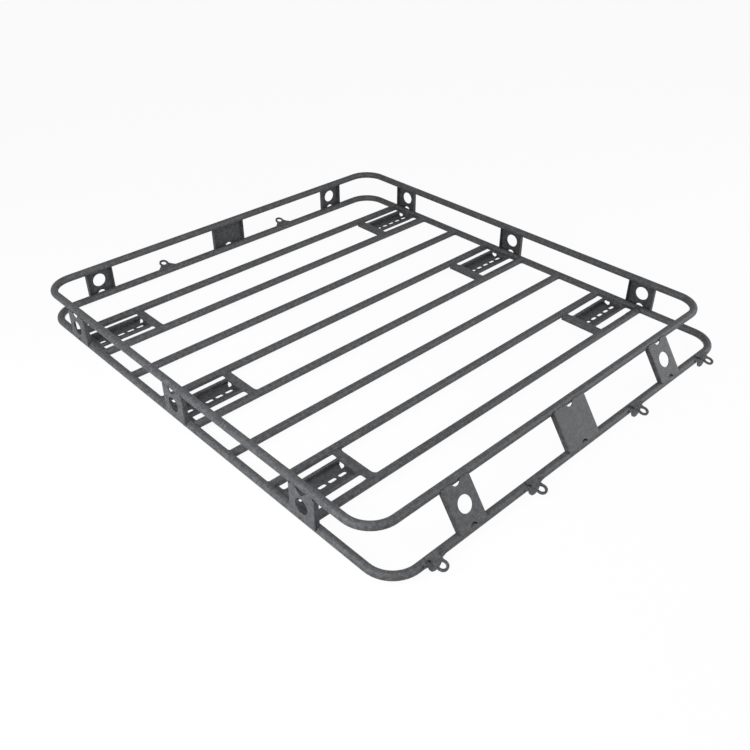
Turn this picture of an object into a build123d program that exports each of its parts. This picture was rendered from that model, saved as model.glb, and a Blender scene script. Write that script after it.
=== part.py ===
from build123d import *
from math import cos, radians, sin
import os

# Flat platform roof rack: two round-tube rail loops, eight crossbars between the side tubes,
# folded upright plates, troughed mounting plates between pairs of bars and eye tabs.
# Millimetres. X runs across the vehicle, Y along it with the raked front at -Y, Z is up.
# The origin is under the middle of the rack, level with the lowest points of the eye tabs.

os.makedirs("parts", exist_ok=True)

# Tube
tube_od = 22.2
tube_wall = 2.1
bend_radius = 76.0        # centreline radius of the four corner bends
weld_gap = 0.2            # fit-up gap that each weld closes

# Rail loops, between tube centrelines
deck_width = 1350.0
deck_length = 1515.0
rail_rise = 96.4          # lower rail up to top rail
front_rake = 67.6         # setback of the top rail at the front

# Crossbars, along Y from the back rail's centreline
first_bar_setback = 163.2
bar_bay = 157.8           # plain bay
mount_bay = 152.4         # bay that carries the mounting plates
bar_count = 8
mount_pair_count = 3      # pairs of mounting plates, in evenly spread bays

# Upright plates
sheet = 2.5
fold_radius = 3.0         # outside radius of the folded edges
flange_depth = 14.0       # outer face to free edge
narrow_plate = 90.0
wide_plate = 126.0
web_lap = 7.0             # how far the web reaches past each tube's centreline
eye_hole = 43.0           # large round hole
drain_hole = 18.0         # small holes beside the tubes
front_left_inset = 248.0  # middles of the end plates, in from the side tubes' centrelines
front_right_inset = 278.0
back_left_inset = 177.0
back_right_inset = 194.0
front_middle_x = -9.0
back_middle_x = 2.0
side_front_inset = 271.5  # middles of the side plates, in from the end tubes' centrelines
side_back_inset = 212.5
side_middle_y = 31.0

# Mounting plates
mount_sheet = 3.0
mount_reach = 203.0       # inner end to side tube surface
mount_web = 86.0          # between the two long gaps
inner_strip = 25.0        # cross strip at the inner end
outer_strip = 10.0        # cross strip against the side tube
bar_flare = 12.0          # radius that widens the inner end toward each bar
lip_drop = 9.0            # folded lip under the inner end
gap_corner = 6.0          # corner radius of the long gaps
trough_width = 70.0       # sunken middle of the web, inside its walls
trough_depth = 15.0       # top of the web down to the trough's underside
trough_tab = 32.0         # folded tab that closes the middle of each end of the trough
slot_length = 24.0
slot_width = 10.5
slot_pitch = 32.1
slot_count = 5
first_slot = 48.0         # inner end to the middle of the innermost slot

# Eye tabs, each a tongue with an eye and a bell-shaped leg under it
tab_sheet = 4.0
tongue_slope = 16.0       # degrees, down and outward
tongue_reach = 31.0       # from where the tongue touches the tube to the middle of its eye
tongue_neck = 26.0
tongue_root = 38.0
tongue_root_depth = 8.0
tongue_fillet = 5.0
tab_eye = 17.5
tab_ring = 30.0           # outer diameter of the ring round the eye
leg_lean = 15.0           # degrees off the vertical, down and outward
leg_root = 100.0
leg_rise = 6.0            # from where the leg touches the tube up to its top edge
leg_end = 3.0             # height of the leg's pointed ends
leg_reach = 28.0          # from where the leg touches the tube down to its lowest point
leg_lobe = 30.0           # width of the round lower end
leg_fillet = 8.0
front_outer_tab_inset = 117.0  # eyes, in from the side tubes' centrelines
front_inner_tab_x = 217.5
back_tab_x = 251.0

# Places that follow from the dimensions above
tube_r = tube_od / 2
seat_r = tube_r + weld_gap
side_x = deck_width / 2
rail_y = deck_length / 2
deck_z = leg_reach * cos(radians(leg_lean)) - seat_r * sin(radians(leg_lean))
top_z = deck_z + rail_rise
top_front_y = front_rake - rail_y
mount_bays = [i * (bar_count - 2) // (mount_pair_count - 1) for i in range(mount_pair_count)]
bays = [mount_bay if i in mount_bays else bar_bay for i in range(bar_count - 1)]
bar_y = [rail_y - first_bar_setback - sum(bays[:i]) for i in range(bar_count)]


def finish(piece, name):
    piece.part.label = name
    export_step(piece.part, f"parts/{name}.step")


def half_rail(name, end_y, z):
    """U-shaped half of a rail loop, from mid-side round the end at end_y."""
    with BuildPart() as rail:
        with BuildLine(Plane.XY.offset(z)) as path:
            FilletPolyline((-side_x, 0), (-side_x, end_y), (side_x, end_y), (side_x, 0),
                           radius=bend_radius)
        with BuildSketch(Plane(origin=path.line @ 0, z_dir=path.line % 0)):
            Circle(tube_r)
            Circle(tube_r - tube_wall, mode=Mode.SUBTRACT)
        sweep(path=path.line)
    finish(rail, name)


def crossbar(name, y):
    """Round bar between the side tubes, its ends coped to sit on them."""
    with BuildPart() as bar:
        with BuildSketch(Plane.YZ.offset(-side_x)):
            with Locations((y, deck_z)):
                Circle(tube_r)
                Circle(tube_r - tube_wall, mode=Mode.SUBTRACT)
        extrude(amount=deck_width)
        with Locations((-side_x, y, deck_z), (side_x, y, deck_z)):
            Cylinder(seat_r, 2 * tube_od, rotation=(90, 0, 0), mode=Mode.SUBTRACT)
    finish(bar, name)


def upright(name, foot, along, lean, width, with_eye):
    """Folded plate on the outer side of both rails.

    foot lies on the lower rail's centreline under the middle of the plate, along is that
    rail's direction with the rack's inside on its left, and lean is the setback of the top
    rail."""
    outward = Vector(*along).cross(Vector(0, 0, 1))
    rise = Vector(0, 0, rail_rise) - outward * lean
    height = rise.length
    face = Plane(origin=foot, x_dir=along, z_dir=Vector(*along).cross(rise))
    section = Plane(origin=foot, x_dir=along, z_dir=rise)
    outer = seat_r + sheet
    with BuildPart() as plate:
        with BuildSketch(section) as channel:
            with Locations((0, -outer)):
                Rectangle(width, flange_depth, align=(Align.CENTER, Align.MIN))
            with Locations((0, -seat_r)):
                Rectangle(width - 2 * sheet, flange_depth, align=(Align.CENTER, Align.MIN),
                          mode=Mode.SUBTRACT)
            fillet(channel.vertices().group_by(Axis.Y)[0], fold_radius)
        extrude(amount=height)
        # the web laps both tubes, past the ends of the folded edges
        with BuildSketch(face.offset(seat_r)):
            with Locations((0, height / 2)):
                Rectangle(width - 2 * fold_radius, height + 2 * web_lap)
        extrude(amount=sheet)
        # both tubes' seats
        with BuildSketch(Plane(origin=Vector(*foot) - Vector(*along) * width,
                               x_dir=face.y_dir, z_dir=along)):
            Circle(seat_r)
            with Locations((height, 0)):
                Circle(seat_r)
        extrude(amount=2 * width, mode=Mode.SUBTRACT)
        with BuildSketch(face.offset(outer)):
            if with_eye:
                with Locations((0, height / 2)):
                    Circle(eye_hole / 2)
            with Locations((0, tube_r), (0, height - tube_r)):
                Circle(drain_hole / 2)
        extrude(amount=-2 * sheet, mode=Mode.SUBTRACT)
    finish(plate, name)


def mount_plate(name, side, back_y, front_y):
    """Sheet between two bars, from the side tube inward: two long gaps and, between them, a
    web with a slotted trough. side is -1 or 1."""
    middle_y = (back_y + front_y) / 2
    half_span = (back_y - front_y) / 2 - seat_r
    outer_x = side_x - seat_r
    inner_x = outer_x - mount_reach
    web_start = inner_x + inner_strip
    web_end = outer_x - outer_strip
    web_length = web_end - web_start
    web_middle = (web_start + web_end) / 2
    top = Plane(origin=(0, middle_y, deck_z + mount_sheet / 2), x_dir=(side, 0, 0),
                z_dir=(0, 0, 1))
    inside_depth = trough_depth - mount_sheet
    with BuildSketch() as blank:
        with BuildLine():
            Polyline((inner_x - bar_flare, half_span), (outer_x, half_span),
                     (outer_x, -half_span), (inner_x - bar_flare, -half_span))
            RadiusArc((inner_x - bar_flare, -half_span), (inner_x, bar_flare - half_span),
                      bar_flare)
            Line((inner_x, bar_flare - half_span), (inner_x, half_span - bar_flare))
            RadiusArc((inner_x, half_span - bar_flare), (inner_x - bar_flare, half_span),
                      bar_flare)
        make_face()
    with BuildSketch() as lip_band:
        add(blank.sketch)
        with Locations((mount_sheet, 0)):
            add(blank.sketch, mode=Mode.SUBTRACT)
    with BuildPart() as plate:
        with BuildSketch(top):
            add(blank.sketch)
        extrude(amount=-mount_sheet)
        with BuildSketch(top):
            add(lip_band.sketch)
        extrude(amount=-mount_sheet - lip_drop)
        with BuildSketch(top):
            with Locations((web_middle, 0)):
                Rectangle(web_length, trough_width + 2 * mount_sheet)
        extrude(amount=-trough_depth)
        # hollow of the trough, and its open lower corners beside the end tabs
        with BuildSketch(top):
            with Locations((web_middle, 0)):
                Rectangle(web_length - 2 * mount_sheet, trough_width)
        extrude(amount=-inside_depth, mode=Mode.SUBTRACT)
        with BuildSketch(top.offset(-mount_sheet)):
            with Locations((web_middle, (trough_width + trough_tab) / 4),
                           (web_middle, -(trough_width + trough_tab) / 4)):
                Rectangle(web_length, (trough_width - trough_tab) / 2)
        extrude(amount=mount_sheet - inside_depth, mode=Mode.SUBTRACT)
        # long gaps beside the two bars
        with BuildSketch(top):
            with Locations((web_middle, mount_web / 2 + half_span),
                           (web_middle, -mount_web / 2 - half_span)):
                RectangleRounded(web_length, 2 * half_span, gap_corner)
        extrude(amount=-mount_sheet, mode=Mode.SUBTRACT)
        with BuildSketch(top.offset(-inside_depth)):
            for i in range(slot_count):
                with Locations((inner_x + first_slot + i * slot_pitch, 0)):
                    SlotOverall(slot_length, slot_width)
        extrude(amount=-mount_sheet, mode=Mode.SUBTRACT)
    finish(plate, name)


def eye_tab(name, foot, along):
    """Tongue with an eye, touching the rail near its top, over a leg on its outer side."""
    outward = Vector(*along).cross(Vector(0, 0, 1))
    up = Vector(0, 0, 1)
    tongue_normal = outward * sin(radians(tongue_slope)) + up * cos(radians(tongue_slope))
    leg_normal = outward * cos(radians(leg_lean)) + up * sin(radians(leg_lean))
    tongue_plane = Plane(origin=Vector(*foot) + tongue_normal * seat_r,
                         x_dir=Vector(*along).cross(tongue_normal), z_dir=tongue_normal)
    leg_plane = Plane(origin=Vector(*foot) + leg_normal * seat_r, x_dir=along,
                      z_dir=leg_normal)
    lobe_y = leg_lobe / 2 - leg_reach
    with BuildPart() as tab:
        with BuildSketch(tongue_plane) as tongue:
            Rectangle(tongue_root_depth, tongue_root)
            Rectangle(tongue_reach, tongue_neck, align=(Align.MIN, Align.CENTER))
            neck = tongue.vertices().group_by(Axis.X)[1].sort_by(Axis.Y)[1:3]
            fillet(neck, tongue_fillet)
            with Locations((tongue_reach, 0)):
                Circle(tab_ring / 2)
                Circle(tab_eye / 2, mode=Mode.SUBTRACT)
        extrude(amount=tab_sheet)
        with BuildSketch(leg_plane) as leg:
            Polygon((-leg_root / 2, leg_rise), (-leg_root / 2, leg_rise - leg_end),
                    (-leg_lobe / 2, lobe_y), (leg_lobe / 2, lobe_y),
                    (leg_root / 2, leg_rise - leg_end), (leg_root / 2, leg_rise), align=None)
            with Locations((0, lobe_y)):
                Circle(leg_lobe / 2)
            fillet(leg.vertices().group_by(Axis.Y)[0], leg_fillet)
        extrude(amount=tab_sheet)
    finish(tab, name)


half_rail("top_rail_front", top_front_y, top_z)
half_rail("top_rail_back", rail_y, top_z)
half_rail("lower_rail_front", -rail_y, deck_z)
half_rail("lower_rail_back", rail_y, deck_z)

for i, y in enumerate(bar_y):
    crossbar(f"crossbar_{i + 1}", y)

for end, facing, setback, plate_x in (
        ("front", 1, front_rake, (front_left_inset - side_x, front_middle_x,
                                  side_x - front_right_inset)),
        ("back", -1, 0, (back_left_inset - side_x, back_middle_x, side_x - back_right_inset))):
    for place, x in zip(("left", "middle", "right"), plate_x):
        width = wide_plate if place == "middle" else narrow_plate
        upright(f"{end}_upright_{place}", (x, -facing * rail_y, deck_z), (facing, 0, 0),
                setback, width, place != "middle")

side_plate_y = (side_front_inset - rail_y, side_middle_y, rail_y - side_back_inset)
for place, y in zip(("front", "middle", "back"), side_plate_y):
    upright(f"left_upright_{place}", (-side_x, y, deck_z), (0, -1, 0), 0, narrow_plate, True)
    upright(f"right_upright_{place}", (side_x, y, deck_z), (0, 1, 0), 0, narrow_plate, True)

for place, i in zip(("back", "middle", "front"), mount_bays):
    mount_plate(f"mount_plate_left_{place}", -1, bar_y[i], bar_y[i + 1])
    mount_plate(f"mount_plate_right_{place}", 1, bar_y[i], bar_y[i + 1])

outer_tab_x = side_x - front_outer_tab_inset
front_tab_x = (-outer_tab_x, -front_inner_tab_x, front_inner_tab_x, outer_tab_x)
for i, x in enumerate(front_tab_x):
    eye_tab(f"front_tab_{i + 1}", (x, -rail_y, deck_z), (1, 0, 0))
for i, x in enumerate((-back_tab_x, back_tab_x)):
    eye_tab(f"back_tab_{i + 1}", (x, rail_y, deck_z), (-1, 0, 0))
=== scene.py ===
import math

import bmesh
import bpy
import numpy as np
from mathutils import Matrix, Vector
from mathutils.geometry import tessellate_polygon


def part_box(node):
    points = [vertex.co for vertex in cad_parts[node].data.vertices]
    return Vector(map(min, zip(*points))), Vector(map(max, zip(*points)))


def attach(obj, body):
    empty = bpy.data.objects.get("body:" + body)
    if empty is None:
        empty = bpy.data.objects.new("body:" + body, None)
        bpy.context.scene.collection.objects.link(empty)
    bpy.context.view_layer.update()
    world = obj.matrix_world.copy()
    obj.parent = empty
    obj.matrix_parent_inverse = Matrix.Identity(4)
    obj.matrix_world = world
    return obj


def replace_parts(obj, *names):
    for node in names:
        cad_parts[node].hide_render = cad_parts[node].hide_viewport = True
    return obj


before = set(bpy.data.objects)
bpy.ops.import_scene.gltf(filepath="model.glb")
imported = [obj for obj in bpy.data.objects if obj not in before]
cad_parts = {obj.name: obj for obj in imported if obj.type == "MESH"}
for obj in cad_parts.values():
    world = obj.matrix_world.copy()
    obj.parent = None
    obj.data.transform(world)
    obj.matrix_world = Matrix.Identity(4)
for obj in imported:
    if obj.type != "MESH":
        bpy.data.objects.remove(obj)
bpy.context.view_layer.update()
print("rack loaded,", len(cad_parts), "parts")

mm = 0.001

tube = {
    "radius": 11.1 * mm,
    "seat": 11.3 * mm,           # from the centreline to the sheets that stand on the tube
}


def middleOf(node):
    low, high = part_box(node)
    return (low + high) / 2


# the tubes' centrelines, read from the loaded parts
barCount = sum(node.startswith("crossbar_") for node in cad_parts)
barMiddles = [middleOf(f"crossbar_{i + 1}") for i in range(barCount)]
deckZ = barMiddles[0].z
topZ = middleOf("top_rail_back").z
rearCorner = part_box("lower_rail_back")[1]
sideX = rearCorner.x - tube["radius"]
railY = rearCorner.y - tube["radius"]
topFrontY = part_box("top_rail_front")[0].y + tube["radius"]


# finish

coat = {
    "colour": (0.064, 0.065, 0.069),
    "paleColour": (0.125, 0.126, 0.131),
    "darkColour": (0.030, 0.030, 0.033),
    "tones": (0.36, 0.5, 0.66),  # noise levels of the dark, the plain and the pale colour
    "roughness": 0.52,
    "roughnessSpread": 0.08,
    "specular": 0.25,
    # fine pimples, and soft clouds where the coat is thicker; share is their part in the colour's drift
    "grain": {"perMetre": 520.0, "detail": 3.0, "harshness": 0.6, "share": 0.6,
              "depth": 0.22 * mm, "strength": 1.0},
    "mottle": {"perMetre": 90.0, "detail": 4.0, "harshness": 0.5, "share": 0.4,
               "depth": 0.5 * mm, "strength": 0.6},
    "recessTone": 0.75,          # share of the colour left by the painted shade inside folds and recesses, a guess
    "recessDepth": 3.5 * mm,     # depth below a recess's top at which the painted shade is full
    "foldFacing": (0.1, 0.85),   # a normal's cosine to outward, for the full painted shade and for none
}


def addNoise(nodes, links, place, values):
    noise = nodes.new("ShaderNodeTexNoise")
    noise.inputs["Scale"].default_value = values["perMetre"]
    noise.inputs["Detail"].default_value = values["detail"]
    noise.inputs["Roughness"].default_value = values["harshness"]
    links.new(place.outputs["Object"], noise.inputs["Vector"])
    return noise


def addBump(nodes, links, noise, values):
    bump = nodes.new("ShaderNodeBump")
    bump.inputs["Distance"].default_value = values["depth"]
    bump.inputs["Strength"].default_value = values["strength"]
    links.new(noise.outputs["Fac"], bump.inputs["Height"])
    return bump


def addDrift(nodes, links, grain, mottle, values):
    # colour = tones(grain * its share + mottle * its share), from the dark colour to the pale one
    cloud = nodes.new("ShaderNodeMath")
    cloud.operation = "MULTIPLY"
    cloud.inputs[1].default_value = values["mottle"]["share"]
    links.new(mottle.outputs["Fac"], cloud.inputs[0])
    blend = nodes.new("ShaderNodeMath")
    blend.operation = "MULTIPLY_ADD"
    blend.inputs[1].default_value = values["grain"]["share"]
    links.new(grain.outputs["Fac"], blend.inputs[0])
    links.new(cloud.outputs[0], blend.inputs[2])
    ramp = nodes.new("ShaderNodeValToRGB")
    stops = ramp.color_ramp.elements
    stops.new(values["tones"][1])
    for stop, tone, key in zip(stops, values["tones"], ("darkColour", "colour", "paleColour")):
        stop.position = tone
        stop.color = (*values[key], 1)
    links.new(blend.outputs[0], ramp.inputs["Fac"])
    return ramp.outputs["Color"]


def paintShade(nodes, links, shade, measure, low, high, share):
    # paints shade: scales the colour by share where the measure is at low, by 1 where it is at high, smooth
    # between
    depth = nodes.new("ShaderNodeMapRange")
    depth.interpolation_type = "SMOOTHSTEP"
    depth.inputs["From Min"].default_value = low
    depth.inputs["From Max"].default_value = high
    depth.inputs["To Min"].default_value = share
    links.new(measure, depth.inputs["Value"])
    scaled = nodes.new("ShaderNodeVectorMath")
    scaled.operation = "SCALE"
    links.new(shade, scaled.inputs[0])
    links.new(depth.outputs["Result"], scaled.inputs["Scale"])
    return scaled.outputs["Vector"]


def makeCoat(name, values, outward=None, paintedShadeTop=None):
    # fine pimples as bump, with the colour and the gloss drifting a little from place to place, and
    # painted shade: a darker colour on faces turned away from outward, and below a given height in recesses
    material = bpy.data.materials.new(name)
    material.use_nodes = True
    nodes, links = material.node_tree.nodes, material.node_tree.links
    shader = nodes["Principled BSDF"]
    place = nodes.new("ShaderNodeTexCoord")
    grain = addNoise(nodes, links, place, values["grain"])
    mottle = addNoise(nodes, links, place, values["mottle"])
    shade = addDrift(nodes, links, grain, mottle, values)
    # painted shade on faces turned away from outward, such as the inner faces of folds
    if outward is not None:
        surface = nodes.new("ShaderNodeNewGeometry")
        facing = nodes.new("ShaderNodeVectorMath")
        facing.operation = "DOT_PRODUCT"
        facing.inputs[1].default_value = outward
        links.new(surface.outputs["Normal"], facing.inputs[0])
        low, high = values["foldFacing"]
        shade = paintShade(nodes, links, shade, facing.outputs["Value"], low, high, values["recessTone"])
    # painted shade below the top of a recess
    if paintedShadeTop is not None:
        height = nodes.new("ShaderNodeSeparateXYZ")
        links.new(place.outputs["Object"], height.inputs[0])
        low = paintedShadeTop - values["recessDepth"]
        shade = paintShade(nodes, links, shade, height.outputs["Z"], low, paintedShadeTop, values["recessTone"])
    links.new(shade, shader.inputs["Base Color"])

    gloss = nodes.new("ShaderNodeMapRange")
    gloss.inputs["To Min"].default_value = values["roughness"] - values["roughnessSpread"]
    gloss.inputs["To Max"].default_value = values["roughness"] + values["roughnessSpread"]
    links.new(mottle.outputs["Fac"], gloss.inputs["Value"])
    links.new(gloss.outputs["Result"], shader.inputs["Roughness"])

    fineBump = addBump(nodes, links, grain, values["grain"])
    softBump = addBump(nodes, links, mottle, values["mottle"])
    links.new(fineBump.outputs["Normal"], softBump.inputs["Normal"])
    links.new(softBump.outputs["Normal"], shader.inputs["Normal"])
    shader.inputs["Specular IOR Level"].default_value = values["specular"]
    return material


powderCoat = makeCoat("powderCoat", coat)
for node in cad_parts.values():
    node.data.materials.clear()
    node.data.materials.append(powderCoat)
print("coat mixed")


# pieces from points and faces

def joinedMesh(name, shells):
    # one smooth-shaded mesh; each shell is its points and the arrays of faces between them
    points, faces, offset = [], [], 0
    for place, arrays in shells:
        points.append(place)
        for array in arrays:
            faces += (array + offset).tolist()
        offset += len(place)
    mesh = bpy.data.meshes.new(name)
    mesh.from_pydata(np.concatenate(points).tolist(), [], faces)
    mesh.polygons.foreach_set("use_smooth", np.ones(len(mesh.polygons), bool))
    mesh.update()
    return mesh


def rackPiece(name, mesh, material):
    # a coated piece that rides with the rack
    piece = bpy.data.objects.new(name, mesh)
    bpy.context.collection.objects.link(piece)
    mesh.materials.append(material)
    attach(piece, "root")
    return piece


# sheet metal

sharpEdge = 32                   # degrees between faces, past which an edge isn't shaded smooth


def cutSheet(outline, holes, origin, along, up, push):
    # solid(u, v, w) = origin + u * along + v * up + w * push over the flat shape inside outline and
    # outside holes, w from 0 to 1; both faces are filled and each loop gets a wall between them
    loops = [np.asarray(loop, float) for loop in (outline, *holes)]
    flat = np.concatenate(loops)
    count = len(flat)
    caps = np.array(tessellate_polygon([[Vector((u, v, 0)) for u, v in loop] for loop in loops]))
    origin, along, up, push = (np.asarray(way, float) for way in (origin, along, up, push))
    base = origin + flat[:, :1] * along + flat[:, 1:] * up
    walls, start = [], 0
    for loop in loops:
        k = np.arange(len(loop))
        a, b = start + k, start + (k + 1) % len(loop)
        walls.append(np.stack([a, b, b + count, a + count], axis=1))
        start += len(loop)
    return np.concatenate([base, base + push]), [caps, caps[:, ::-1] + count, *walls]


def arc(centre, radius, start, end, count=14):
    # points at centre + radius * (cos t, sin t), t running in degrees from start to end
    t = np.radians(np.linspace(start, end, count))
    return np.stack([centre[0] + radius * np.cos(t), centre[1] + radius * np.sin(t)], axis=1)


def circle(centre, radius, count=48):
    return arc(centre, radius, 0, 360 * (1 - 1 / count), count)


def mirrored(half, signs):
    # the half outline, and back along its image under signs, from the point that both share
    return np.concatenate([half, (half * signs)[::-1][1:]])


def sheetPiece(node, cuts, material):
    # joins the cut sheets into one piece, faces outward, that stands for the plain node
    first, *rest = node.split("_")
    name = first + "".join(word.capitalize() for word in rest)
    mesh = joinedMesh(name, cuts)
    shell = bmesh.new()
    shell.from_mesh(mesh)
    bmesh.ops.recalc_face_normals(shell, faces=shell.faces)
    shell.to_mesh(mesh)
    shell.free()
    mesh.set_sharp_from_angle(angle=math.radians(sharpEdge))
    mesh.update()
    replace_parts(rackPiece(name, mesh, material), node)


uprightSheet = {
    "sheet": 2.5 * mm,
    "foldRadius": 3.0 * mm,
    "flangeDepth": 14.0 * mm,
    "setback": 3.0 * mm,         # the web's ends, short of each tube's centreline
    "eye": 21.5 * mm,
    "footNotch": 13.2 * mm,
    "topNotch": 13.8 * mm,
}


def uprightPlaces():
    # every folded plate's foot on the lower tube's centreline, its directions along its width, up its
    # height and out of its web, and its height and width
    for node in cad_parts:
        if "upright" not in node:
            continue
        low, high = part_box(node)
        middle = (low + high) / 2
        end = node.split("_")[0]
        side = -1.0 if end in ("left", "front") else 1.0
        if end in ("left", "right"):
            along = np.array((0, side, 0))
            foot = np.array((side * sideX, middle.y, deckZ))
            head = np.array((side * sideX, middle.y, topZ))
            width = high.y - low.y
        else:
            along = np.array((-side, 0, 0))
            foot = np.array((middle.x, side * railY, deckZ))
            head = np.array((middle.x, topFrontY if end == "front" else railY, topZ))
            width = high.x - low.x
        height = np.linalg.norm(head - foot)
        rise = (head - foot) / height
        yield node, foot, along, rise, np.cross(along, rise), height, width


def makeUpright(node, foot, along, rise, face, height, width, values):
    # web with its notches and eye, two flanges coped round both tubes, and a quarter ring at each fold
    sheet, fold, setback, seat = values["sheet"], values["foldRadius"], values["setback"], tube["seat"]
    half = width / 2 - fold
    footTurn, topTurn = (math.degrees(math.asin(setback / values[k])) for k in ("footNotch", "topNotch"))
    web = np.concatenate([[(-half, setback)],
                          arc((0, 0), values["footNotch"], 180 - footTurn, footTurn, count=20),
                          [(half, setback), (half, height - setback)],
                          arc((0, height), values["topNotch"], -topTurn, topTurn - 180, count=24),
                          [(-half, height - setback)]])
    eyeless = "middle" in node and node.startswith(("front", "back"))
    eyes = [] if eyeless else [circle((0, height / 2), values["eye"])]
    cuts = [cutSheet(web, eyes, foot + face * seat, along, rise, face * sheet)]
    outer = seat + sheet
    near, far = outer - values["flangeDepth"], outer - fold
    nearTurn, farTurn = (math.degrees(math.acos(reach / seat)) for reach in (near, far))
    flange = np.concatenate([arc((0, 0), seat, farTurn, nearTurn),
                             arc((0, height), seat, -nearTurn, -farTurn)])
    cope = seat * math.sin(math.radians(farTurn))
    for side in (-1, 1):
        edge = foot + along * side * (width / 2 - sheet)
        cuts.append(cutSheet(flange, [], edge, face, rise, along * side * sheet))
        centre, flangeTurn = (side * half, far), 90 - 90 * side
        ring = np.concatenate([arc(centre, fold, 90, flangeTurn, count=8),
                               arc(centre, fold - sheet, flangeTurn, 90, count=8)])
        cuts.append(cutSheet(ring, [], foot + rise * cope, along, face, rise * (height - 2 * cope)))
    sheetPiece(node, cuts, shadedUprightCoats[node.split("_")[0]])


# coats with painted shade on the inner faces of each end's folded plates
shadedUprightCoats = {}
for node, foot, along, rise, face, height, width in uprightPlaces():
    end = node.split("_")[0]
    if end not in shadedUprightCoats:
        shadedUprightCoats[end] = makeCoat(end + "UprightCoat", coat, outward=tuple(face))
    makeUpright(node, foot, along, rise, face, height, width, uprightSheet)
print("folded upright plates made")


mountSheet = {
    "sheet": 3.0 * mm,
    "reach": 203.0 * mm,         # inner end to the side tube's surface
    "innerStrip": 25.0 * mm,
    "outerStrip": 10.0 * mm,
    "web": 43.0 * mm,            # from the middle to the rear gap
    "webFore": 40.0 * mm,        # and to the front gap
    "shelf": 23.5 * mm,          # from the middle to the shelf's free front edge
    "flare": 15.0 * mm,          # fillets between the inner end and the bars
    "gapCorner": 6.0 * mm,
    "lipDrop": 9.0 * mm,
    "lipInset": 0.5 * mm,        # the lip's ends, short of the plate's edges
    "trough": 35.0 * mm,         # from the middle to the opening's rear edge
    "troughFore": 31.0 * mm,     # and to its front edge
    "troughDepth": 15.0 * mm,
    "endTab": 16.0 * mm,         # where the end walls' open rear corners begin
    "cornerDrop": 5.0 * mm,      # top of the web down to the open corners beside that tab
    "cornerReach": 9.0 * mm,
    "slot": (24.0 * mm, 10.5 * mm),
    "slotCount": 5,
    "slotPitch": 32.1 * mm,
    "firstSlot": 48.0 * mm,
}


def makeMountPlate(node, values, material):
    # pierced top; its rear edge folds down into a slotted shelf with a free front edge; a lip under
    # the inner end, fillets toward both bars
    low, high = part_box(node)
    side = 1 if high.x > 0 else -1
    middleY, span = (low.y + high.y) / 2, (high.y - low.y) / 2
    outer = max(abs(low.x), abs(high.x))
    inner = outer - values["reach"]
    start, end = inner + values["innerStrip"], outer - values["outerStrip"]
    sheet, corner, flare, shelf = (values[k] for k in ("sheet", "gapCorner", "flare", "shelf"))
    trough, troughFore, tab = (values[k] for k in ("trough", "troughFore", "endTab"))
    x, y, z = np.array((side, 0, 0.0)), np.array((0, 1.0, 0)), np.array((0, 0, 1.0))
    centre = np.array((0, middleY, deckZ + sheet / 2))

    def halfOutline(edge):
        # from the outer end round the gap that begins at edge, to the fillet at the inner end
        return np.concatenate([[(outer, span), (end, span)],
                               arc((end - corner, edge + corner), corner, 0, -90, count=6),
                               arc((start + corner, edge + corner), corner, -90, -180, count=6),
                               [(start, span)],
                               arc((inner - flare, span - flare), flare, 90, 0, count=10)])

    outline = np.concatenate([halfOutline(values["web"]), (halfOutline(values["webFore"]) * (1, -1))[::-1]])
    opening = [(start + sheet, -troughFore), (end - sheet, -troughFore),
               (end - sheet, trough), (start + sheet, trough)]
    cuts = [cutSheet(outline, [opening], centre, x, y, -z * sheet)]

    depth, drop = values["troughDepth"], values["cornerDrop"]
    wall = [(start, -sheet), (end, -sheet), (end, -depth), (start, -depth)]
    cuts.append(cutSheet(wall, [], centre + y * trough, x, z, y * sheet))

    cut = sheet + values["cornerReach"]
    floor = [(start, -shelf), (end, -shelf), (end, tab), (end - cut, tab), (end - sheet, trough),
             (start + sheet, trough), (start + cut, tab), (start, tab)]
    length, breadth = (size / 2 for size in values["slot"])
    slots = []
    for i in range(values["slotCount"]):
        at = inner + values["firstSlot"] + i * values["slotPitch"]
        slots.append(np.concatenate([arc((at + length - breadth, 0), breadth, -90, 90, count=10),
                                     arc((at - length + breadth, 0), breadth, 90, 270, count=10)]))
    inside = depth - sheet
    cuts.append(cutSheet(floor, slots, centre - z * inside, x, y, -z * sheet))

    endWall = [(-troughFore, -sheet), (trough, -sheet), (trough, -drop), (tab, -drop), (tab, -inside),
               (-shelf, -inside), (-troughFore, -drop)]
    for at in (start, end - sheet):
        cuts.append(cutSheet(endWall, [], centre + x * at, y, z, x * sheet))

    lip, lipFoot = span - values["lipInset"], -sheet - values["lipDrop"]
    lipShape = [(-lip, -sheet), (lip, -sheet), (lip, lipFoot), (-lip, lipFoot)]
    cuts.append(cutSheet(lipShape, [], centre + x * inner, y, z, x * sheet))
    sheetPiece(node, cuts, material)


# coat with painted shade in the trough, below the plate's top
troughCoat = makeCoat("troughCoat", coat, paintedShadeTop=deckZ - mountSheet["sheet"] / 2)
for node in list(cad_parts):
    if node.startswith("mount_plate"):
        makeMountPlate(node, mountSheet, troughCoat)
print("mounting plates made")


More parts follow.
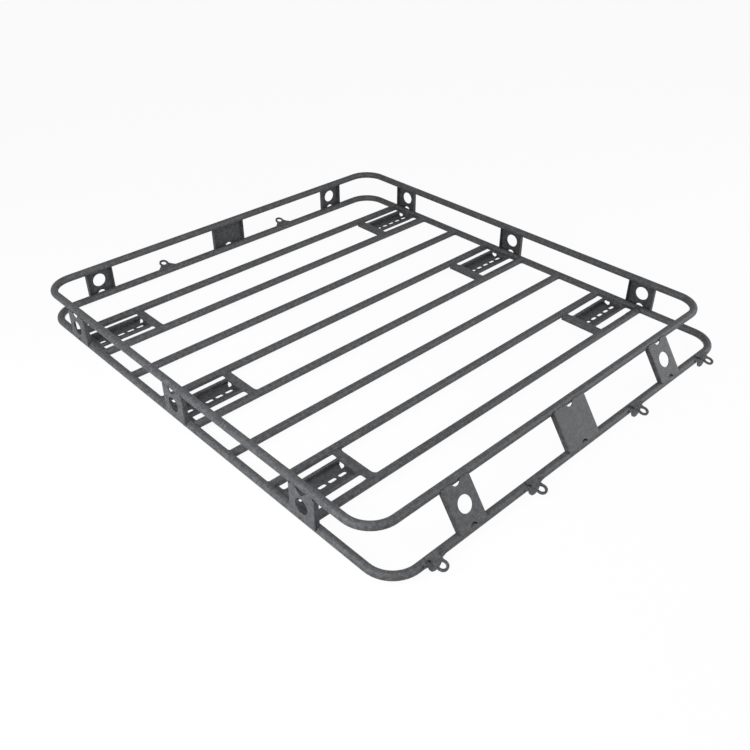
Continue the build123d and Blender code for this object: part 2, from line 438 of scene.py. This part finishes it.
tabSheet = {
    "sheet": 4.0 * mm,
    "eye": 8.75 * mm,
    "ring": 15.0 * mm,
    "tongueSlope": 16.0,         # degrees, down and outward
    "tongueReach": 31.0 * mm,
    "neck": 13.0 * mm,
    "root": (19.0 * mm, 4.0 * mm),
    "neckFillet": 5.0 * mm,
    "legLean": 4.0,              # degrees off the vertical, down and outward
    "legRoot": 34.0 * mm,
    "legTop": 6.0 * mm,
    "legEdge": 3.0 * mm,         # straight end of the leg's top, before the flanks draw in
    "legPower": 2.0,             # how soon they draw in
    "legShoulder": 9.0 * mm,
    "legReach": 24.7 * mm,
    "lobe": 20.0 * mm,
    "bellSlope": 19.0,           # degrees, up and outward
    "bellReach": 35.5 * mm,
    "bellRoot": 33.0 * mm,
    "bellSink": 0.2 * mm,        # how far the bell's straight edge is sunk into the tube
    "bellStart": 13.0 * mm,      # from the tube's centreline out to where the flanks start to draw in
    "bellNeck": 31.0 * mm,
    "bellPower": 1.35,
}
alongTube = np.array((1.0, 0, 0))


def drawIn(wide, narrow, power, count=12):
    # half-width = narrow + (wide - narrow) * (1 - s) ** power while s runs from 0 to 1
    s = np.linspace(0, 1, count)
    return s, narrow + (wide - narrow) * (1 - s) ** power


def tabPlace(node):
    # the tab's foot on the lower tube's centreline, and its directions out of the rack and up
    low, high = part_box(node)
    side = -1.0 if node.startswith("front") else 1.0
    foot = np.array(((low.x + high.x) / 2, side * railY, deckZ))
    return foot, np.array((0, side, 0)), np.array((0, 0, 1.0))


def dipped(out, up, degrees):
    # out and up, turned about the tube until out points down by so many degrees
    turn = math.radians(degrees)
    return out * math.cos(turn) - up * math.sin(turn), out * math.sin(turn) + up * math.cos(turn)


def makeFrontTab(node, values):
    # tongue with an eye on top of the tube, over a bell-shaped leg on its outer side
    foot, out, up = tabPlace(node)
    sheet, seat = values["sheet"], tube["seat"]
    reachWay, normal = dipped(out, up, values["tongueSlope"])
    root, depth = values["root"]
    neck, fillet, ring, reach = (values[k] for k in ("neck", "neckFillet", "ring", "tongueReach"))
    turn = 180 - math.degrees(math.asin(neck / ring))
    half = np.concatenate([[(-depth, root), (depth, root)],
                           arc((depth + fillet, neck + fillet), fillet, 180, 270, count=8),
                           arc((reach, 0), ring, turn, 0, count=24)])
    tongue, eye = mirrored(half, (1, -1)), circle((reach, 0), values["eye"], count=36)
    cuts = [cutSheet(tongue, [eye], foot + normal * seat, reachWay, alongTube, normal * sheet)]

    legNormal, legUp = dipped(out, up, -values["legLean"])
    legRoot, legTop, lobe = (values[k] for k in ("legRoot", "legTop", "lobe"))
    flankTop, lobeHeight = legTop - values["legEdge"], lobe - values["legReach"]
    s, wide = drawIn(legRoot, lobe, values["legPower"])
    flank = np.stack([wide, flankTop + (lobeHeight - flankTop) * s], axis=1)
    half = np.concatenate([[(neck, values["legShoulder"]), (neck, legTop), (legRoot, legTop)], flank,
                           arc((0, lobeHeight), lobe, 0, -90)[1:]])
    leg = mirrored(half, (-1, 1))
    cuts.append(cutSheet(leg, [], foot + legNormal * seat, alongTube, legUp, legNormal * sheet))
    sheetPiece(node, cuts, powderCoat)


def makeBackTab(node, values):
    # flat bell-shaped plate with an eye, standing on the tube's outer side
    foot, out, up = tabPlace(node)
    reachWay, normal = dipped(out, up, -values["bellSlope"])
    root, start, neck = (values[k] for k in ("bellRoot", "bellStart", "bellNeck"))
    ring, reach, sheet = (values[k] for k in ("ring", "bellReach", "sheet"))
    s, wide = drawIn(root, ring, values["bellPower"])
    flank = np.stack([start + (neck - start) * s, wide], axis=1)
    half = np.concatenate([[(tube["radius"] - values["bellSink"], root)], flank,
                           arc((reach, 0), ring, 90, 0, count=16)])
    bell, eye = mirrored(half, (1, -1)), circle((reach, 0), values["eye"], count=36)
    cuts = [cutSheet(bell, [eye], foot - normal * sheet / 2, reachWay, alongTube, normal * sheet)]
    sheetPiece(node, cuts, powderCoat)


for node in list(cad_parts):
    if node.startswith("front_tab"):
        makeFrontTab(node, tabSheet)
    elif node.startswith("back_tab"):
        makeBackTab(node, tabSheet)
print("eye tabs made")


# weld beads

bead = {
    "width": 2.3 * mm,           # half of the bead's breadth
    "rise": 1.5 * mm,            # how far it stands off the metal
    "ripple": 0.10,
    "ripplePitch": 3.2 * mm,
    "closing": 1.2,              # how many widths an end takes to close
    "tip": 0.03,                 # the share of that run which is left out at its thin end
    "around": 12,
    "step": 0.9 * mm,
    "fewestRings": 8,
}


def beadAlong(path, lift, values):
    # ring(u, v) = path(u) + swell(u) * (width * cos v * across(u) + rise * sin v * lift(u)), where swell
    # closes the two ends with a quarter circle and ripples in between
    path = np.asarray(path, float)
    steps = np.linalg.norm(np.diff(path, axis=0), axis=1)
    run = np.concatenate([[0.0], np.cumsum(steps)])
    count = max(values["fewestRings"], int(run[-1] / values["step"]))
    closed = np.allclose(path[0], path[-1])
    at = np.linspace(0.0, run[-1], count)
    path = np.stack([np.interp(at, run, path[:, k]) for k in range(3)], axis=1)
    lift = np.broadcast_to(np.asarray(lift, float), (len(run), 3))
    lift = np.stack([np.interp(at, run, lift[:, k]) for k in range(3)], axis=1)
    ahead = np.gradient(path, axis=0)
    ahead /= np.linalg.norm(ahead, axis=1, keepdims=True)
    lift = lift - (lift * ahead).sum(1, keepdims=True) * ahead
    lift /= np.linalg.norm(lift, axis=1, keepdims=True)
    across = np.cross(lift, ahead)

    fromEnd = np.minimum(at, run[-1] - at) / (values["width"] * values["closing"])
    swell = 1 + values["ripple"] * np.sin(2 * np.pi * at / values["ripplePitch"])
    if not closed:
        swell = swell * np.sqrt(1 - (1 - np.clip(fromEnd, values["tip"], 1)) ** 2)
    turn = np.linspace(0, 2 * np.pi, values["around"], endpoint=False)
    ring = (across[:, None, :] * (values["width"] * np.cos(turn))[None, :, None]
            + lift[:, None, :] * (values["rise"] * np.sin(turn))[None, :, None])
    points = (path[:, None, :] + ring * swell[:, None, None]).reshape(-1, 3)

    around = values["around"]
    i, j = np.meshgrid(np.arange(count - 1), np.arange(around), indexing="ij")
    a = i * around + j
    b = i * around + (j + 1) % around
    quads = np.stack([a, b, b + around, a + around], axis=-1).reshape(-1, 4)
    k = np.arange(around)
    first = np.stack([np.full(around, count * around), (k + 1) % around, k], axis=-1)
    last = (count - 1) * around
    end = np.stack([np.full(around, count * around + 1), last + k, last + (k + 1) % around], axis=-1)
    return np.concatenate([points, path[:1], path[-1:]]), [quads, first, end]


barWeld = {"points": 181, "crest": 0.01, "lean": 0.8}


def barEndBeads():
    # the bar's surface at angle t meets the side tube at x = side * (sideX - r * |cos t|), where crest
    # rounds off the path's two sharp turns, and the bead leans toward the bar by lean
    strips = []
    t = np.linspace(0, 2 * np.pi, barWeld["points"])
    inward = tube["radius"] * np.sqrt(np.cos(t) ** 2 + barWeld["crest"])
    for middle in barMiddles:
        for side in (-1, 1):
            path = np.stack([side * (sideX - inward),
                             middle.y + tube["radius"] * np.cos(t),
                             middle.z + tube["radius"] * np.sin(t)], axis=1)
            lift = np.stack([np.full_like(t, -side * barWeld["lean"]), np.cos(t), np.sin(t)], axis=1)
            strips.append(beadAlong(path, lift, bead))
    return strips


rackPiece("crossbarWelds", joinedMesh("crossbarWelds", barEndBeads()), powderCoat)
print("crossbar welds run")


plateWeld = {"fromEdge": 6 * mm, "fromMiddle": 18 * mm, "above": 1.8 * mm, "off": 11.3 * mm, "lean": 0.8}


def plateBeads():
    # stitches below and above each folded plate's web, beside its notches, on the two tubes
    strips = []
    for node, foot, along, rise, face, height, width in uprightPlaces():
        for start, way in ((foot, 1), (foot + rise * height, -1)):
            centre = start + rise * way * plateWeld["above"] + face * plateWeld["off"]
            lift = face * plateWeld["lean"] - rise * way
            for side in (-1, 1):
                outer = side * (width / 2 - plateWeld["fromEdge"])
                path = [centre + along * outer, centre + along * side * plateWeld["fromMiddle"]]
                strips.append(beadAlong(path, lift, bead))
    return strips


rackPiece("uprightWelds", joinedMesh("uprightWelds", plateBeads()), powderCoat)
print("upright plates' welds run")


mountWeld = {
    "stitch": 34 * mm,
    "from": 16 * mm,             # the plate's ends to the stitches
    "sideStitch": 46 * mm,
    "height": 1.9 * mm,          # off the plate's middle plane, up and down
    "onto": 0.3 * mm,            # the stitches' middle, in from the plate's edge
    "lean": 0.7,
}


def mountBeads():
    # stitches on top of and under each mounting plate, along both bars and the side tube
    strips = []
    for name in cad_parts:
        if not name.startswith("mount_plate"):
            continue
        low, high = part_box(name)
        side = 1 if high.x > 0 else -1
        outer = max(abs(low.x), abs(high.x)) - mountWeld["from"]
        inner = min(abs(low.x), abs(high.x)) + mountWeld["from"]
        spans = ((inner, inner + mountWeld["stitch"]), (outer - mountWeld["stitch"], outer))
        edgeX = side * (outer + mountWeld["from"])
        middleY, half = (low.y + high.y) / 2, mountWeld["sideStitch"] / 2
        for up in (-1, 1):
            z = deckZ + up * mountWeld["height"]
            for edge, way in ((low.y, 1), (high.y, -1)):
                y = edge + way * mountWeld["onto"]
                for a, b in spans:
                    path = [(side * a, y, z), (side * b, y, z)]
                    strips.append(beadAlong(path, (0, way * mountWeld["lean"], up), bead))
            path = [(edgeX, middleY - half, z), (edgeX, middleY + half, z)]
            strips.append(beadAlong(path, (-side * mountWeld["lean"], 0, up), bead))
    return strips


rackPiece("mountWelds", joinedMesh("mountWelds", mountBeads()), powderCoat)
print("mounting plates' welds run")


# reach is half of a bead's length, off its place from the tube's centreline along the sheet's normal
# or reach, and lift the way its crown points, in shares of the sheet's two directions
tabWeld = {
    "root": {"reach": 17 * mm, "off": 11.0 * mm, "behind": 4.8 * mm, "lift": (0.8, 0.6)},
    "leg": {"from": 15 * mm, "to": 33 * mm, "off": 11.4 * mm, "above": 6.4 * mm, "lift": (0.5, 1.0)},
    "bell": {"reach": 29 * mm, "off": 11.2 * mm, "aside": 2.5 * mm, "lift": (0.8, 0.6)},
}


def frontTabBeads(node):
    # one behind the tongue's root, and one on top of each of the leg's shoulders
    foot, out, up = tabPlace(node)
    root, leg = tabWeld["root"], tabWeld["leg"]
    reachWay, normal = dipped(out, up, tabSheet["tongueSlope"])
    centre = foot + normal * root["off"] - reachWay * root["behind"]
    yield beadAlong([centre - alongTube * root["reach"], centre + alongTube * root["reach"]],
                    normal * root["lift"][0] - reachWay * root["lift"][1], bead)
    normal, legUp = dipped(out, up, -tabSheet["legLean"])
    centre = foot + normal * leg["off"] + legUp * leg["above"]
    for side in (-1, 1):
        yield beadAlong([centre + alongTube * side * leg["from"], centre + alongTube * side * leg["to"]],
                        normal * leg["lift"][0] + legUp * leg["lift"][1], bead)


def backTabBeads(node):
    # along both faces of the bell, at the tube
    foot, out, up = tabPlace(node)
    bell = tabWeld["bell"]
    reachWay, normal = dipped(out, up, -tabSheet["bellSlope"])
    for way in (-1, 1):
        centre = foot + reachWay * bell["off"] + normal * way * bell["aside"]
        yield beadAlong([centre - alongTube * bell["reach"], centre + alongTube * bell["reach"]],
                        reachWay * bell["lift"][0] + normal * way * bell["lift"][1], bead)


tabBeads = []
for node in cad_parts:
    if node.startswith("front_tab"):
        tabBeads += frontTabBeads(node)
    elif node.startswith("back_tab"):
        tabBeads += backTabBeads(node)
rackPiece("tabWelds", joinedMesh("tabWelds", tabBeads), powderCoat)


buttWeld = dict(bead, width=1.7 * mm, rise=0.5 * mm, points=97)


def buttBeads():
    # low rings round both loops' side tubes, where their two halves meet
    t = np.linspace(0, 2 * np.pi, buttWeld["points"])
    lift = np.stack([np.cos(t), np.zeros_like(t), np.sin(t)], axis=1)
    return [beadAlong(np.array((side * sideX, 0, z)) + lift * tube["radius"], lift, buttWeld)
            for side in (-1, 1) for z in (deckZ, topZ)]


rackPiece("railButtWelds", joinedMesh("railButtWelds", buttBeads()), powderCoat)
print("tab and rail welds run")


# floor, light and camera

studio = {
    "floorColour": (0.93, 0.93, 0.93),
    "floorReach": 60.0,
    "floorHeight": -0.5 * mm,
    "shadowKept": 0.05,          # how much of the shadow the white floor shows
    "worldColour": (0.8, 0.8, 0.8),
    "worldStrength": 0.10,
}
lamps = {
    "sideLamp": {"power": 36.0, "size": 1.2, "at": (-2.1, -0.15, 0.9), "colour": (0.96, 0.98, 1.0)},
    "frontLamp": {"power": 56.0, "size": 1.8, "at": (1.9, -2.4, 1.0), "colour": (0.97, 0.98, 1.0)},
    "fillLamp": {"power": 16.0, "size": 2.6, "at": (-2.0, -2.6, 1.4), "colour": (1.0, 1.0, 1.0)},
    "topLamp": {"power": 20.0, "size": 1.6, "at": (-1.3, -0.7, 1.8), "colour": (1.0, 1.0, 1.0)},
}


def backgroundRays(nodes, links):
    # 1 for a ray that shows the background: straight to the camera, by reflection or through glass
    rays = nodes.new("ShaderNodeLightPath")
    either = rays.outputs["Is Camera Ray"]
    for kind in ("Is Glossy Ray", "Is Transmission Ray"):
        most = nodes.new("ShaderNodeMath")
        most.operation = "MAXIMUM"
        links.new(either, most.inputs[0])
        links.new(rays.outputs[kind], most.inputs[1])
        either = most.outputs[0]
    return either


def makeFloor():
    reach, z = studio["floorReach"], studio["floorHeight"]
    mesh = bpy.data.meshes.new("floor")
    mesh.from_pydata([(-reach, -reach, z), (reach, -reach, z), (reach, reach, z), (-reach, reach, z)],
                     [], [(0, 1, 2, 3)])
    floor = bpy.data.objects.new("floor", mesh)
    bpy.context.collection.objects.link(floor)
    material = bpy.data.materials.new("paleFloor")
    material.use_nodes = True
    nodes, links = material.node_tree.nodes, material.node_tree.links
    nodes.clear()
    out = nodes.new("ShaderNodeOutputMaterial")
    matte = nodes.new("ShaderNodeBsdfDiffuse")
    matte.inputs["Color"].default_value = (*studio["floorColour"], 1)
    white = nodes.new("ShaderNodeEmission")
    white.inputs["Color"].default_value = (1, 1, 1, 1)
    white.inputs["Strength"].default_value = 1.0
    part = nodes.new("ShaderNodeMath")
    part.operation = "MULTIPLY"
    part.inputs[1].default_value = 1 - studio["shadowKept"]
    links.new(backgroundRays(nodes, links), part.inputs[0])
    mix = nodes.new("ShaderNodeMixShader")
    links.new(part.outputs[0], mix.inputs["Fac"])
    links.new(matte.outputs[0], mix.inputs[1])
    links.new(white.outputs[0], mix.inputs[2])
    links.new(mix.outputs[0], out.inputs["Surface"])
    mesh.materials.append(material)


def makeLamp(name, values):
    # a square lamp that faces the rack's middle
    data = bpy.data.lights.new(name, "AREA")
    data.shape = "SQUARE"
    data.size = values["size"]
    data.energy = values["power"]
    data.color = values["colour"]
    lamp = bpy.data.objects.new(name, data)
    bpy.context.collection.objects.link(lamp)
    lamp.location = values["at"]
    lamp.rotation_mode = "QUATERNION"
    lamp.rotation_quaternion = Vector(values["at"]).to_track_quat("Z", "Y")


def makeWorld():
    world = bpy.data.worlds.new("studio")
    bpy.context.scene.world = world
    world.use_nodes = True
    nodes, links = world.node_tree.nodes, world.node_tree.links
    nodes.clear()
    out = nodes.new("ShaderNodeOutputWorld")
    sky = nodes.new("ShaderNodeBackground")
    sky.inputs["Color"].default_value = (*studio["worldColour"], 1)
    sky.inputs["Strength"].default_value = studio["worldStrength"]
    white = nodes.new("ShaderNodeBackground")
    white.inputs["Color"].default_value = (1, 1, 1, 1)
    white.inputs["Strength"].default_value = 1.0
    mix = nodes.new("ShaderNodeMixShader")
    links.new(backgroundRays(nodes, links), mix.inputs["Fac"])
    links.new(sky.outputs[0], mix.inputs[1])
    links.new(white.outputs[0], mix.inputs[2])
    links.new(mix.outputs[0], out.inputs["Surface"])


makeFloor()
makeWorld()
for name, values in lamps.items():
    makeLamp(name, values)
print("studio lit")

view = {
    "azimuth": -43.456,          # degrees, from the front toward the rack's left
    "elevation": 35.072,
    "roll": -0.127,
    "eye": (-1.4947, -1.5759, 1.3458),   # metres, from the middle of the deck
    "lens": 40.208,
    "sensor": 36.0,
    "shift": (-0.5 / 750, 0.5 / 750),    # half a pixel each way
    "farthest": 100.0,
}


def makeCamera():
    a, e, roll = (math.radians(view[k]) for k in ("azimuth", "elevation", "roll"))
    back = Vector((math.sin(a) * math.cos(e), -math.cos(a) * math.cos(e), math.sin(e)))
    right = Vector((math.cos(a), math.sin(a), 0))
    up = back.cross(right)
    turnedRight = right * math.cos(roll) + up * math.sin(roll)
    turnedUp = up * math.cos(roll) - right * math.sin(roll)
    data = bpy.data.cameras.new("photoCamera")
    data.sensor_width = view["sensor"]
    data.sensor_fit = "HORIZONTAL"
    data.lens = view["lens"]
    data.shift_x, data.shift_y = view["shift"]
    data.clip_end = view["farthest"]
    camera = bpy.data.objects.new("photoCamera", data)
    bpy.context.collection.objects.link(camera)
    turn = Matrix((turnedRight, turnedUp, back)).transposed().to_4x4()
    camera.matrix_world = Matrix.Translation(Vector(view["eye"]) + Vector((0, 0, deckZ))) @ turn
    bpy.context.scene.camera = camera


makeCamera()
bpy.context.scene.view_settings.view_transform = "Standard"
print("camera set")
